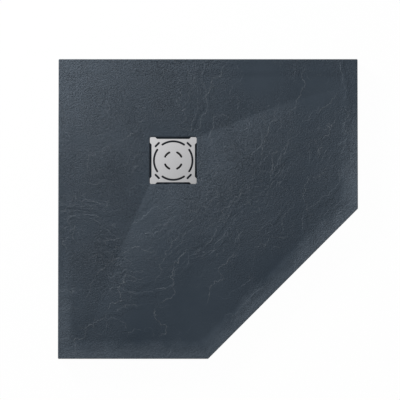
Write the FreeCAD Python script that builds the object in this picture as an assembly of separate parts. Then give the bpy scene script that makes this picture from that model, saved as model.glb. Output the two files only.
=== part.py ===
# A low five-sided shower tray of cast mineral resin, with its slotted waste cover and trap.
# Millimetres, +Z up. The origin is on the underside, at the middle of the square that the tray
# would be without its slanting front. -X and +Y are the wall sides, the slanting front faces +X -Y.
import FreeCAD, Part
import math
import os

Vector = FreeCAD.Vector
UP = Vector(0, 0, 1)
CENTRE = Vector(0, 0, 0)

# Tray slab
tray_width = 900.0
tray_depth = 900.0
front_cut_width = 450.0
front_cut_depth = 450.0
rim_height = 30.0
plan_corner_radius = 3.0
rim_edge_radius = 2.0

# Level border, a soft shoulder down from it, and three falls that start near the pocket and
# round off into a level floor before they reach the shoulder
border_width = 38.0
shoulder_width = 14.0
shoulder_height = 1.2
fall_height = 8.8
back_fall_run = 150.0
left_fall_run = 190.0
front_fall_run = 172.0
wall_fall_rounding = 30.0
front_fall_rounding = 87.0

# Pocket for the cover, and the waste hole below it
waste_from_left = 345.0
waste_from_back = 305.0
pocket_side = 143.0
pocket_corner_radius = 7.0
pocket_depth = 7.5
waste_hole_radius = 45.0
flange_room = 2.0
underside_recess_depth = 2.5

# Waste cover
cover_body_side = 130.5
cover_ear_reach = 5.25
cover_ear_length = 16.5
cover_ear_chamfer = 3.0
cover_thickness = 2.0
cover_below_floor = 0.5
slot_width = 6.0
outer_slot_radius = 58.0
outer_slot_half_angle = 34.0
inner_slot_radius = 27.0
inner_slot_half_angle = 19.0
corner_slot_distance = 68.0
corner_slot_length = 20.0
pad_radius = 6.0
pad_inset = 9.0
square_side_count = 4
to_corner = 45.0

# Clamping ring, gaskets and screws
flange_radius = 57.0
flange_thickness = 1.5
flange_opening_radius = 30.0
upper_gasket_thickness = 1.5
lower_gasket_thickness = 2.0
gasket_margin = 1.0
screw_count = 4
screw_circle_radius = 36.0
screw_radius = 2.5
screw_length = 16.0
screw_head_radius = 4.4
screw_head_height = 2.2
screw_hole_room = 0.3
screw_slot_width = 1.0
screw_slot_depth = 1.2
insert_radius = 3.5
insert_length = 9.0
thread_room = 0.05

# Trap body
trap_flange_thickness = 3.0
trap_radius = 43.0
trap_wall = 3.0
collar_room = 0.6
boss_radius = 4.7
shelf_depth = 5.0
shelf_thickness = 3.0
seat_depth = 10.0
sump_depth = 7.5
trap_bottom_radius = 12.0

# Dip tube, its ring and the hair strainer
dip_tube_radius = 24.0
dip_tube_wall = 2.5
dip_collar_radius = 26.8
dip_collar_height = 8.5
dip_rim_radius = 29.5
dip_rim_thickness = 2.5
seat_room = 0.2
water_seal = 30.0
ring_wire_radius = 1.6
ring_room = 0.05
finger_tab_height = 6.0
finger_tab_width = 12.0
finger_tab_thickness = 2.0
strainer_rim_radius = 26.0
strainer_rim_thickness = 1.5
strainer_wall = 1.2
strainer_room = 0.4
strainer_depth = 16.0
strainer_hole_radius = 1.9
strainer_hole_pitch = 6.2
first_ring_hole_count = 6
strainer_knob_radius = 3.0
strainer_knob_height = 20.0

# Outlet: a ball joint, then a socket with a compression nut for the waste pipe
outlet_drop = 38.0
ball_distance = 66.0
ball_radius = 27.0
outlet_bore_radius = 16.5
ball_lip = 1.5
neck_radius = 19.0
neck_length = 32.0
stub_radius = 30.0
stub_bore_radius = 19.5
ball_room = 0.3
ball_seat_back = 19.0
ball_seat_front = 15.0
ball_seal_length = 6.0
slip_washer_length = 6.0
nut_lip = 2.5
nut_wall = 3.5
nut_swing_radius = 22.6
nut_overlap = 13.0
waste_pipe_radius = 20.0
pipe_room = 0.15
socket_wall = 3.5
socket_depth = 28.0
pipe_stop = 6.0
pipe_seal_length = 6.0
pipe_seal_taper = 2.5
pipe_nut_length = 18.0
pipe_nut_lip = 2.5
pipe_nut_room = 0.65
nut_rib_count = 16
nut_rib_radius = 1.6

# Heights and places that follow from the sizes above
waste_place = Vector(waste_from_left - tray_width / 2, tray_depth / 2 - waste_from_back, 0)
floor_level = rim_height - shoulder_height
floor_height_at_pocket = floor_level - fall_height
pocket_floor = floor_height_at_pocket - pocket_depth
cover_top = floor_height_at_pocket - cover_below_floor
cover_bottom = cover_top - cover_thickness
flange_bottom = pocket_floor - flange_thickness
rebate_floor = flange_bottom - upper_gasket_thickness
trap_flange_top = underside_recess_depth - lower_gasket_thickness
trap_flange_bottom = trap_flange_top - trap_flange_thickness
collar_top = flange_bottom - collar_room
shelf_top = -shelf_depth
trap_bore_radius = trap_radius - trap_wall
seat_radius = dip_collar_radius + seat_room
outlet_invert = -outlet_drop - outlet_bore_radius
dip_tube_end = outlet_invert - water_seal
sump_floor = dip_tube_end - sump_depth
dip_bore_radius = dip_tube_radius - dip_tube_wall
ring_centre_radius = seat_radius - ring_room - ring_wire_radius
ball_place = waste_place + Vector(-ball_distance, 0, -outlet_drop)
socket_bore_radius = waste_pipe_radius + pipe_room
socket_radius = socket_bore_radius + socket_wall
socket_end = neck_length + pipe_stop + socket_depth
same_point = 0.001
far = tray_width + tray_depth
roof = 2 * rim_height


def ring(outer, inner, bottom, top):
    # A flat ring, or a tube, standing on the Z axis.
    body = Part.makeCylinder(outer, top - bottom, Vector(0, 0, bottom))
    return body.cut(Part.makeCylinder(inner, top - bottom, Vector(0, 0, bottom)))


def turned(*outline):
    # A solid turned about Z. Each entry of the outline is a point (radius, height), or the middle
    # and end of an arc (radius, height, radius, height).
    start = Vector(outline[0][0], 0, outline[0][1])
    here = start
    edges = []
    for entry in outline[1:]:
        there = Vector(entry[-2], 0, entry[-1])
        if len(entry) == 4:
            edges.append(Part.Arc(here, Vector(entry[0], 0, entry[1]), there).toShape())
        else:
            edges.append(Part.makeLine(here, there))
        here = there
    if not here.isEqual(start, same_point):
        edges.append(Part.makeLine(here, start))
    return Part.Face(Part.Wire(edges)).revolve(CENTRE, UP, 360)


def on_sphere(radius, height):
    # How far from the axis a sphere about the origin is, at this height.
    return math.sqrt(radius ** 2 - height ** 2)


def arc_on_sphere(radius, from_height, to_height):
    # The middle and end of an arc on a sphere about the origin, for turned().
    start = math.asin(from_height / radius)
    end = math.asin(to_height / radius)
    middle = (start + end) / 2
    return (radius * math.cos(middle), radius * math.sin(middle), radius * math.cos(end), to_height)


def around(shape, count):
    # Copies of a shape, evenly spaced about the Z axis.
    return [shape.rotated(CENTRE, UP, index * 360.0 / count) for index in range(count)]


def at_waste(shape):
    # From the waste's own axis to the tray.
    return shape.translated(waste_place)


def at_outlet(shape):
    # From an axis along +Z with the ball's centre at the origin, to the outlet, which leads to -X.
    return shape.rotated(CENTRE, Vector(0, 1, 0), -90).translated(ball_place)


def upright_edges(block):
    return [edge for edge in block.Edges if edge.BoundBox.ZLength > same_point]


def rounded_square(side, radius, bottom, top):
    block = Part.makeBox(side, side, top - bottom, Vector(-side / 2, -side / 2, bottom))
    return block.makeFillet(radius, upright_edges(block))


def tray_corners():
    left, right = -tray_width / 2, tray_width / 2
    front, back = -tray_depth / 2, tray_depth / 2
    return [
        Vector(left, front, 0),
        Vector(right - front_cut_width, front, 0),
        Vector(right, front + front_cut_depth, 0),
        Vector(right, back, 0),
        Vector(left, back, 0),
    ]


def outward(start, end):
    # The level direction that points out of the tray across one of its sides.
    along = (end - start).normalize()
    return Vector(along.y, -along.x, 0)


def slab():
    corners = tray_corners()
    outline = Part.makePolygon(corners + corners[:1])
    block = Part.Face(outline).extrude(Vector(0, 0, rim_height))
    block = block.makeFillet(plan_corner_radius, upright_edges(block))
    top_edges = [edge for edge in block.Edges if edge.BoundBox.ZMin > rim_height - same_point]
    return block.makeFillet(rim_edge_radius, top_edges)


def ground_under(profile, direction, place):
    # The solid under a profile that runs along a level direction, and stays the same across it.
    # The profile's edges lie in the XZ plane and run outwards; the solid is closed far below.
    first = profile[0].Vertexes[0].Point
    last = profile[-1].Vertexes[-1].Point
    closing = Part.makePolygon([last, Vector(last.x, 0, -far), Vector(first.x, 0, -far), first])
    section = Part.Face(Part.Wire(profile + closing.Edges))
    solid = section.extrude(Vector(0, 2 * far, 0)).translated(Vector(0, -far, 0))
    angle = math.degrees(math.atan2(direction.y, direction.x))
    return solid.rotated(CENTRE, UP, angle).translated(Vector(place.x, place.y, 0))


def fall_ground(uphill, start, run, rounding):
    # A straight fall up from the pocket, a large arc, and the level floor.
    slope = fall_height / run
    low = Vector(-far, 0, floor_height_at_pocket - slope * far)
    bend_start = Vector(run - rounding, 0, floor_level - slope * rounding)
    bend_middle = Vector(run, 0, floor_level - slope * rounding / 4)
    bend_end = Vector(run + rounding, 0, floor_level)
    profile = [
        Part.makeLine(low, bend_start),
        Part.Arc(bend_start, bend_middle, bend_end).toShape(),
        Part.makeLine(bend_end, Vector(far, 0, floor_level)),
    ]
    return ground_under(profile, uphill, start)


def fall_grounds():
    half = pocket_side / 2
    corners = tray_corners()
    front = outward(corners[1], corners[2])
    back_edge = waste_place + Vector(0, half, 0)
    left_edge = waste_place + Vector(-half, 0, 0)
    back_corner = waste_place + Vector(half, half, 0)
    return [
        fall_ground(Vector(0, 1, 0), back_edge, back_fall_run, wall_fall_rounding),
        fall_ground(Vector(-1, 0, 0), left_edge, left_fall_run, wall_fall_rounding),
        fall_ground(front, back_corner, front_fall_run, front_fall_rounding),
    ]


def shoulder_ground(start, end):
    # Along one side: two arcs up from the level floor to the border, and all that is outside them.
    foot = Vector(-border_width - shoulder_width, 0, floor_level)
    top = Vector(-border_width, 0, rim_height)
    middle = (foot + top) / 2
    bow = Vector(shoulder_width / 4, 0, shoulder_height / 8)
    profile = [
        Part.Arc(foot, foot + bow, middle).toShape(),
        Part.Arc(middle, top - bow, top).toShape(),
        Part.makeLine(top, Vector(-border_width, 0, roof)),
        Part.makeLine(Vector(-border_width, 0, roof), Vector(far, 0, roof)),
    ]
    return ground_under(profile, outward(start, end), (start + end) / 2)


def dish():
    # What the floor, its falls and the shoulders leave open over the slab.
    corners = tray_corners()
    space = Part.makeBox(tray_width, tray_depth, roof, corners[0])
    shoulders = []
    for index, corner in enumerate(corners):
        shoulders.append(shoulder_ground(corner, corners[(index + 1) % len(corners)]))
    return space.cut(fall_grounds() + shoulders)


def tray_body():
    pocket = rounded_square(pocket_side, pocket_corner_radius, pocket_floor, roof)
    rebate = Part.makeCylinder(flange_radius + flange_room, roof, Vector(0, 0, rebate_floor))
    hole = Part.makeCylinder(waste_hole_radius, roof)
    recess = Part.makeCylinder(flange_radius + flange_room, underside_recess_depth)
    body = slab().cut(dish())
    for tool in (pocket, rebate, hole, recess):
        body = body.cut(at_waste(tool))
    return body


def round_slot(radius, half_angle, at_angle):
    # A slot along an arc about the cover's centre, with round ends.
    inner, outer = radius - slot_width / 2, radius + slot_width / 2
    sector = Part.makeCylinder(outer, cover_thickness, CENTRE, UP, 2 * half_angle)
    sector = sector.cut(Part.makeCylinder(inner, cover_thickness))
    start = Part.makeCylinder(slot_width / 2, cover_thickness, Vector(radius, 0, 0))
    end = start.rotated(CENTRE, UP, 2 * half_angle)
    return sector.fuse([start, end]).rotated(CENTRE, UP, at_angle - half_angle)


def corner_slot():
    # A straight slot across the cover's corner, with round ends.
    half_run = (corner_slot_length - slot_width) / 2
    low = Vector(corner_slot_distance - slot_width / 2, -half_run, 0)
    bar = Part.makeBox(slot_width, 2 * half_run, cover_thickness, low)
    ends = [
        Part.makeCylinder(slot_width / 2, cover_thickness, Vector(corner_slot_distance, side * half_run, 0))
        for side in (-1, 1)
    ]
    return bar.fuse(ends).rotated(CENTRE, UP, to_corner)


def waste_cover():
    body = cover_body_side / 2
    ear = body + cover_ear_reach
    ear_start = ear - cover_ear_length
    quarter = [
        Vector(body, ear_start - cover_ear_reach, 0),
        Vector(ear, ear_start, 0),
        Vector(ear, ear - cover_ear_chamfer, 0),
        Vector(ear - cover_ear_chamfer, ear, 0),
        Vector(ear_start, ear, 0),
        Vector(ear_start - cover_ear_reach, body, 0),
    ]
    points = []
    for side in range(square_side_count):
        turn = FreeCAD.Rotation(UP, side * 360.0 / square_side_count)
        points += [turn.multVec(point) for point in quarter]
    plate = Part.Face(Part.makePolygon(points + points[:1])).extrude(Vector(0, 0, cover_thickness))
    slots = around(round_slot(outer_slot_radius, outer_slot_half_angle, 0), square_side_count)
    slots += around(round_slot(inner_slot_radius, inner_slot_half_angle, to_corner), square_side_count)
    slots += around(corner_slot(), square_side_count)
    return at_waste(plate.cut(slots).translated(Vector(0, 0, cover_bottom)))


def cover_pads():
    # Four feet between the pocket's floor and the cover's ears.
    reach = cover_body_side / 2 + cover_ear_reach - pad_inset
    pad = Part.makeCylinder(pad_radius, cover_bottom - pocket_floor, Vector(reach, reach, pocket_floor))
    return at_waste(Part.makeCompound(around(pad, square_side_count)))


def waste_flange():
    plate = ring(flange_radius, flange_opening_radius, flange_bottom, pocket_floor)
    hole = Part.makeCylinder(
        screw_radius + screw_hole_room, flange_thickness, Vector(screw_circle_radius, 0, flange_bottom)
    )
    return at_waste(plate.cut(around(hole, screw_count)))


def flange_screw():
    top = pocket_floor
    shank = Part.makeCylinder(screw_radius, screw_length, Vector(0, 0, top - screw_length))
    head = Part.makeCylinder(screw_head_radius, screw_head_height, Vector(0, 0, top))
    crown = [edge for edge in head.Edges if edge.BoundBox.ZMin > top + screw_head_height / 2]
    head = head.makeFillet(screw_head_height / 2, crown)
    reach = screw_head_radius - screw_slot_width
    low = Vector(-reach, -screw_slot_width / 2, top + screw_head_height - screw_slot_depth)
    slot = Part.makeBox(2 * reach, screw_slot_width, screw_slot_depth, low)
    return head.fuse(shank).cut([slot, slot.rotated(CENTRE, UP, 90)])


def flange_screws():
    screw = flange_screw().translated(Vector(screw_circle_radius, 0, 0))
    return at_waste(Part.makeCompound(around(screw, screw_count)))


def screw_inserts():
    insert = ring(insert_radius, screw_radius + thread_room, collar_top - insert_length, collar_top)
    insert = insert.translated(Vector(screw_circle_radius, 0, 0))
    return at_waste(Part.makeCompound(around(insert, screw_count)))


def upper_gasket():
    outer = flange_radius - gasket_margin
    return at_waste(ring(outer, waste_hole_radius + gasket_margin, rebate_floor, flange_bottom))


def lower_gasket():
    outer = flange_radius - gasket_margin
    inner = waste_hole_radius + gasket_margin
    return at_waste(ring(outer, inner, trap_flange_top, underside_recess_depth))


def bend_setback(radius):
    # How far the middle of a quarter bend lies from the lines through its ends.
    return radius * (1 - math.sqrt(0.5))


def trap_outside():
    # Collar, clamping flange, bowl and outlet stub, still solid.
    bend = bend_setback(trap_bottom_radius)
    bottom = sump_floor - trap_wall
    bowl = turned(
        (0, bottom),
        (trap_radius - trap_bottom_radius, bottom),
        (trap_radius - bend, bottom + bend, trap_radius, bottom + trap_bottom_radius),
        (trap_radius, trap_flange_bottom),
        (flange_radius, trap_flange_bottom),
        (flange_radius, trap_flange_top),
        (trap_radius, trap_flange_top),
        (trap_radius, collar_top),
        (0, collar_top),
    )
    shoulder = -ball_seat_back - trap_wall
    stub = turned(
        (0, -ball_distance),
        (stub_bore_radius + trap_wall, -ball_distance),
        (stub_bore_radius + trap_wall, shoulder),
        (stub_radius, shoulder),
        (stub_radius, -ball_room),
        (0, -ball_room),
    )
    return at_waste(bowl).fuse(at_outlet(stub))


def trap_chamber():
    # The room below the shelf, down to the sump.
    radius = trap_bottom_radius - trap_wall
    bend = bend_setback(radius)
    return turned(
        (0, sump_floor),
        (trap_bore_radius - radius, sump_floor),
        (trap_bore_radius - bend, sump_floor + bend, trap_bore_radius, sump_floor + radius),
        (trap_bore_radius, shelf_top - shelf_thickness),
        (0, shelf_top - shelf_thickness),
    )


def trap_well():
    # The room above the shelf, and the dip tube's seat below it.
    return turned(
        (0, shelf_top - seat_depth - shelf_thickness),
        (seat_radius, shelf_top - seat_depth - shelf_thickness),
        (seat_radius, shelf_top),
        (trap_bore_radius, shelf_top),
        (trap_bore_radius, collar_top),
        (0, collar_top),
    )


def stub_bore():
    # The way out of the chamber, and the ball's pocket at its end.
    return turned(
        (0, -ball_distance),
        (stub_bore_radius, -ball_distance),
        (stub_bore_radius, -ball_seat_back),
        (ball_radius + ball_room, -ball_seat_back),
        (ball_radius + ball_room, ball_room),
        (0, ball_room),
    )


def screw_boss():
    height = collar_top - shelf_top
    post = Part.makeCylinder(boss_radius, height, Vector(screw_circle_radius, 0, shelf_top))
    return post.common(Part.makeCylinder(trap_radius - trap_wall / 2, height, Vector(0, 0, shelf_top)))


def boss_bore():
    # The insert's hole, and below it room for the screw's end.
    end = pocket_floor - screw_length - 2 * thread_room
    bore = turned(
        (0, end),
        (screw_radius + screw_hole_room, end),
        (screw_radius + screw_hole_room, collar_top - insert_length),
        (insert_radius + thread_room, collar_top - insert_length),
        (insert_radius + thread_room, roof),
        (0, roof),
    )
    return bore.translated(Vector(screw_circle_radius, 0, 0))


def trap_body():
    sleeve = Part.makeCylinder(seat_radius + trap_wall, seat_depth, Vector(0, 0, shelf_top - seat_depth))
    chamber = trap_chamber().cut(sleeve)
    body = trap_outside().cut([at_waste(trap_well()), at_waste(chamber)])
    body = body.fuse([at_waste(boss) for boss in around(screw_boss(), screw_count)])
    bores = [at_waste(bore) for bore in around(boss_bore(), screw_count)]
    return body.cut([at_outlet(stub_bore())] + bores)


def dip_tube():
    collar_bottom = shelf_top - dip_collar_height
    rim_top = shelf_top + dip_rim_thickness
    body = turned(
        (dip_bore_radius, dip_tube_end),
        (dip_tube_radius, dip_tube_end),
        (dip_tube_radius, collar_bottom),
        (dip_collar_radius, collar_bottom),
        (dip_collar_radius, shelf_top),
        (dip_rim_radius, shelf_top),
        (dip_rim_radius, rim_top),
        (dip_bore_radius, rim_top),
    )
    groove_half = ring_wire_radius + ring_room
    groove = ring(
        seat_radius,
        ring_centre_radius - groove_half,
        ring_height() - groove_half,
        ring_height() + groove_half,
    )
    return at_waste(body.cut(groove).fuse(finger_tabs()))


def ring_height():
    return shelf_top - dip_collar_height / 2


def finger_tabs():
    # Two upright tabs on the dip tube's rim, to pull it out by.
    bottom = shelf_top
    top = shelf_top + dip_rim_thickness + finger_tab_height
    band = ring(dip_rim_radius, dip_rim_radius - finger_tab_thickness, bottom, top)
    low = Vector(-dip_rim_radius, -finger_tab_width / 2, bottom)
    return band.common(Part.makeBox(2 * dip_rim_radius, finger_tab_width, top - bottom, low))


def dip_tube_ring():
    return at_waste(Part.makeTorus(ring_centre_radius, ring_wire_radius, Vector(0, 0, ring_height())))


def strainer_holes(bottom):
    # Rings of holes about a bare middle that carries the knob.
    holes = []
    ring_number = 1
    floor_radius = dip_bore_radius - strainer_room - strainer_wall
    while ring_number * strainer_hole_pitch < floor_radius - strainer_hole_radius:
        circle = ring_number * strainer_hole_pitch
        hole = Part.makeCylinder(strainer_hole_radius, strainer_wall, Vector(circle, 0, bottom))
        holes += around(hole, first_ring_hole_count * ring_number)
        ring_number += 1
    return holes


def hair_strainer():
    seat = shelf_top + dip_rim_thickness
    rim_top = seat + strainer_rim_thickness
    bottom = seat - strainer_depth
    outer = dip_bore_radius - strainer_room
    basket = turned(
        (0, bottom),
        (outer, bottom),
        (outer, seat),
        (strainer_rim_radius, seat),
        (strainer_rim_radius, rim_top),
        (outer - strainer_wall, rim_top),
        (outer - strainer_wall, bottom + strainer_wall),
        (0, bottom + strainer_wall),
    )
    knob = Part.makeCylinder(strainer_knob_radius, strainer_knob_height, Vector(0, 0, bottom))
    return at_waste(basket.cut(strainer_holes(bottom)).fuse(knob))


def outlet_tail():
    # The ball, its neck and the pipe's socket, with one bore through them.
    back = -on_sphere(ball_radius, outlet_bore_radius + ball_lip)
    front = on_sphere(ball_radius, neck_radius)
    stop = neck_length + pipe_stop
    lead_in = socket_radius - neck_radius
    body = turned(
        (outlet_bore_radius, back),
        (on_sphere(ball_radius, back), back),
        arc_on_sphere(ball_radius, back, front),
        (neck_radius, neck_length - lead_in),
        (socket_radius, neck_length),
        (socket_radius, socket_end),
        (socket_bore_radius, socket_end),
        (socket_bore_radius, stop),
        (outlet_bore_radius, stop),
    )
    return at_outlet(body)


def ball_seal():
    # Fills the corner of the stub's pocket behind the ball.
    touch = ball_radius + thread_room
    outer = ball_radius + ball_room - thread_room
    back = -ball_seat_back
    front = back + ball_seal_length
    return at_outlet(turned(
        (on_sphere(touch, back), back),
        (outer, back),
        (outer, front),
        (on_sphere(touch, front), front),
        arc_on_sphere(touch, front, back),
    ))


def slip_washer():
    # Between the ball and the nut's lip, so that the ball turns freely.
    touch = ball_radius + thread_room
    outer = stub_radius - gasket_margin
    front = ball_seat_front
    back = front - slip_washer_length
    return at_outlet(turned(
        (on_sphere(touch, back), back),
        (outer, back),
        (outer, front),
        (on_sphere(touch, front), front),
        arc_on_sphere(touch, front, back),
    ))


def nut_ribs(radius, bottom, top):
    rib = Part.makeCylinder(nut_rib_radius, top - bottom, Vector(radius, 0, bottom))
    return around(rib, nut_rib_count)


def ball_nut():
    # Screwed over the stub; its lip holds the ball in, and the neck swings inside the lip.
    bore = stub_radius + thread_room
    outer = bore + nut_wall - nut_rib_radius
    lip_top = ball_seat_front + nut_lip
    body = ring(outer, bore, -nut_overlap, ball_seat_front)
    lip = ring(outer, nut_swing_radius, ball_seat_front, lip_top)
    ribs = [rib.cut(Part.makeCylinder(bore, lip_top, Vector(0, 0, -nut_overlap)))
            for rib in nut_ribs(outer, -nut_overlap, ball_seat_front)]
    return at_outlet(body.fuse([lip] + ribs).removeSplitter())


def pipe_seal():
    # A tapered ring, squeezed onto the pipe by its nut.
    return at_outlet(turned(
        (socket_bore_radius, socket_end),
        (socket_radius, socket_end),
        (socket_radius, socket_end + pipe_seal_length - pipe_seal_taper),
        (socket_radius - pipe_seal_taper, socket_end + pipe_seal_length),
        (socket_bore_radius, socket_end + pipe_seal_length),
    ))


def pipe_nut():
    bore = socket_radius + thread_room
    outer = bore + nut_wall - nut_rib_radius
    end = socket_end + pipe_seal_length + pipe_nut_lip
    start = end - pipe_nut_length
    shell = ring(outer, bore, start, end - pipe_nut_lip - pipe_seal_taper)
    lip = turned(
        (bore, end - pipe_nut_lip - pipe_seal_taper),
        (outer, end - pipe_nut_lip - pipe_seal_taper),
        (outer, end),
        (waste_pipe_radius + pipe_nut_room, end),
        (waste_pipe_radius + pipe_nut_room, end - pipe_nut_lip),
        (bore - pipe_seal_taper, end - pipe_nut_lip),
    )
    ribs = [rib.cut(Part.makeCylinder(bore, pipe_nut_length, Vector(0, 0, start)))
            for rib in nut_ribs(outer, start, end - pipe_nut_lip - pipe_seal_taper)]
    return at_outlet(shell.fuse([lip] + ribs).removeSplitter())


pieces = {
    "tray_body": tray_body,
    "waste_cover": waste_cover,
    "cover_pads": cover_pads,
    "waste_flange": waste_flange,
    "flange_screws": flange_screws,
    "screw_inserts": screw_inserts,
    "upper_gasket": upper_gasket,
    "lower_gasket": lower_gasket,
    "trap_body": trap_body,
    "dip_tube": dip_tube,
    "dip_tube_ring": dip_tube_ring,
    "hair_strainer": hair_strainer,
    "outlet_tail": outlet_tail,
    "ball_seal": ball_seal,
    "slip_washer": slip_washer,
    "ball_nut": ball_nut,
    "pipe_seal": pipe_seal,
    "pipe_nut": pipe_nut,
}

os.makedirs("parts", exist_ok=True)
for name, make in pieces.items():
    shape = make()
    shape.exportStep("parts/" + name + ".step")
    print(name, len(shape.Solids), "solids", round(shape.Volume / 1000, 2), "cm3", shape.isValid())
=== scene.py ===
import math

import bpy
import numpy as np
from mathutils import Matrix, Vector
from mathutils.geometry import delaunay_2d_cdt


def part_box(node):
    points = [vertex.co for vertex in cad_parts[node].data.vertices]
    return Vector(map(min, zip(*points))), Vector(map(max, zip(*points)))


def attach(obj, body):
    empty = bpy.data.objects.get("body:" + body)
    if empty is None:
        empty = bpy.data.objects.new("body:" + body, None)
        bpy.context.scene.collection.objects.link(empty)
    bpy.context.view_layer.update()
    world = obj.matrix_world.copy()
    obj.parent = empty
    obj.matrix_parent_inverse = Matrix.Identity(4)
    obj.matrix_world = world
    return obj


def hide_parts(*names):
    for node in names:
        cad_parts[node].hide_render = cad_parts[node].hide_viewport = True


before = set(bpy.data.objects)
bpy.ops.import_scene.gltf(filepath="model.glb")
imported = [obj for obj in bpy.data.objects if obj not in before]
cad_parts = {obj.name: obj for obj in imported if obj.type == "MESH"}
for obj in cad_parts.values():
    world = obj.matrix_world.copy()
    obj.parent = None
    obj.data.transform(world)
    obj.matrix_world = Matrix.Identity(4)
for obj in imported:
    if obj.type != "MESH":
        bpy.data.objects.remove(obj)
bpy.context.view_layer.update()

# Places taken from the frame, in metres. The origin is the middle of the square that the tray is cut from.
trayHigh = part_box("tray_body")[1]
coverLow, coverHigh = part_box("waste_cover")
halfSide = trayHigh.x
rimTop = trayHigh.z
wasteX = (coverLow.x + coverHigh.x) / 2
wasteY = (coverLow.y + coverHigh.y) / 2
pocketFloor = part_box("waste_flange")[1].z
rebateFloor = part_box("upper_gasket")[0].z
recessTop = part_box("lower_gasket")[1].z

tray = {
    "spacing": 0.003,           # between the mesh points of the shower floor
    "underSpacing": 0.03,       # between those of the flat underside
    "underMargin": 0.005,       # how far those stay from the outline
    "cornerRadius": 0.003,
    "rimRadius": 0.002,
    "borderWidth": 0.034,
    "borderWander": {"reach": 0.004, "cell": 0.12, "octaves": 2, "seed": 60},
    "shoulderWidth": 0.022,
    "shoulderHeight": 0.0012,
    # each fall's run from the pocket to its crest, and half the length of the bend at the crest
    "backFall": (0.150, 0.030),
    "leftFall": (0.190, 0.030),
    "frontFall": (0.172, 0.087),
    "bottomBevel": 0.0006,
    "sideLevels": (0.025, 0.021, 0.017, 0.013, 0.009, 0.005, 0.002),
    "rippleDepth": 0.00025,
    "ripple": {"reach": 0.5, "cell": 0.02, "octaves": 3, "seed": 90},
}
pocket = {
    "halfSide": 0.0715,
    "cornerRadius": 0.007,
    "lipRadius": 0.001,
    "footRadius": 0.0008,
    "rebateRadius": 0.059,
    "holeRadius": 0.045,
    "coverDrop": 0.0005,        # how far the cover lies below the floor at the pocket
}

floorLevel = rimTop - tray["shoulderHeight"]
floorAtPocket = coverHigh.z + pocket["coverDrop"]
trayCorners = [
    (-halfSide, -halfSide), (0.0, -halfSide), (halfSide, 0.0), (halfSide, halfSide), (-halfSide, halfSide),
]
pocketCorners = [
    (wasteX + sideX * pocket["halfSide"], wasteY + sideY * pocket["halfSide"])
    for sideX, sideY in ((-1, -1), (1, -1), (1, 1), (-1, 1))
]
sharpAngle = math.radians(50)   # an edge that turns by more is shown sharp on the slab and softened elsewhere
noiseGrid = 64                  # the noise repeats after this many cells


def eased(value):
    part = np.clip(value, 0, 1)
    return part * part * (3 - 2 * part)


def drift(x, y, cell, seed):  # smooth noise, about -1 to 1, that changes over the length cell
    angles = np.random.default_rng(seed).uniform(0, 2 * math.pi, (noiseGrid, noiseGrid))
    u, v = x / cell + 0.37, y / cell + 0.61     # shifted, so that no cell's edge runs through the origin
    column, row = np.floor(u).astype(int), np.floor(v).astype(int)
    partU, partV = u - column, v - row

    def pull(stepU, stepV):
        angle = angles[(row + stepV) % noiseGrid, (column + stepU) % noiseGrid]
        return np.cos(angle) * (partU - stepU) + np.sin(angle) * (partV - stepV)

    easeU = partU ** 3 * (partU * (6 * partU - 15) + 10)
    easeV = partV ** 3 * (partV * (6 * partV - 15) + 10)
    low = pull(0, 0) * (1 - easeU) + pull(1, 0) * easeU
    high = pull(0, 1) * (1 - easeU) + pull(1, 1) * easeU
    return 1.5 * (low * (1 - easeV) + high * easeV)     # the sum alone stays within about 0.7


def layered(x, y, cell, octaves, seed, fade=0.5):
    return sum(fade ** n * drift(x, y, cell / 2 ** n, seed + n) for n in range(octaves))


def wander(x, y, noise, seedShift=0):  # layered noise, as one of the small dictionaries with a reach gives it
    return noise["reach"] * layered(x, y, noise["cell"], noise["octaves"], noise["seed"] + seedShift)


def insideDistance(x, y, corners):  # from the nearest side of an outline that bulges everywhere
    nearest = np.full(np.shape(x), np.inf)
    for (startX, startY), (endX, endY) in zip(corners, corners[1:] + corners[:1]):
        run = math.hypot(endX - startX, endY - startY)
        gap = ((endX - startX) * (y - startY) - (endY - startY) * (x - startX)) / run
        nearest = np.minimum(nearest, gap)
    return nearest


def roundedLoop(corners, radius, inset, spacing, turnSteps=6):  # an outline with round corners, pulled in
    count = len(corners)
    points = np.array(corners, float)
    along = np.roll(points, -1, axis=0) - points
    along /= np.linalg.norm(along, axis=1)[:, None]
    inward = np.column_stack([-along[:, 1], along[:, 0]])
    before = np.roll(inward, 1, axis=0)
    centres = points + (inward + before) * radius / (1 + (inward * before).sum(1))[:, None]
    loop = []
    for index in range(count):
        start = math.atan2(-before[index, 1], -before[index, 0])
        turn = math.acos(np.clip(before[index] @ inward[index], -1, 1))
        for step in range(turnSteps + 1):
            angle = start + turn * step / turnSteps
            loop.append(centres[index] + (radius - inset) * np.array([math.cos(angle), math.sin(angle)]))
        nextCentre = centres[(index + 1) % count]
        pieces = max(1, round(np.linalg.norm(nextCentre - centres[index]) / spacing))
        shift = -inward[index] * (radius - inset)
        for step in range(1, pieces):
            loop.append(centres[index] + (nextCentre - centres[index]) * step / pieces + shift)
    return np.array(loop)


def trayLoop(inset):
    return roundedLoop(trayCorners, tray["cornerRadius"], inset, tray["spacing"])


def pocketLoop(outset):
    return roundedLoop(pocketCorners, pocket["cornerRadius"], -outset, tray["spacing"], turnSteps=8)


def wasteCircle(radius):  # the pocket's points, moved onto a circle about the waste
    middle = np.array([wasteX, wasteY])
    away = pocketLoop(0) - middle
    return middle + away * radius / np.linalg.norm(away, axis=1)[:, None]


def fallHeight(distance, run, bend):  # straight up from the pocket, a bend, then the level floor
    slope = (floorLevel - floorAtPocket) / run
    straight = floorAtPocket + slope * distance
    bent = floorLevel - slope * np.clip(run + bend - distance, 0, None) ** 2 / (4 * bend)
    return np.where(distance < run - bend, straight, bent)


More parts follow.
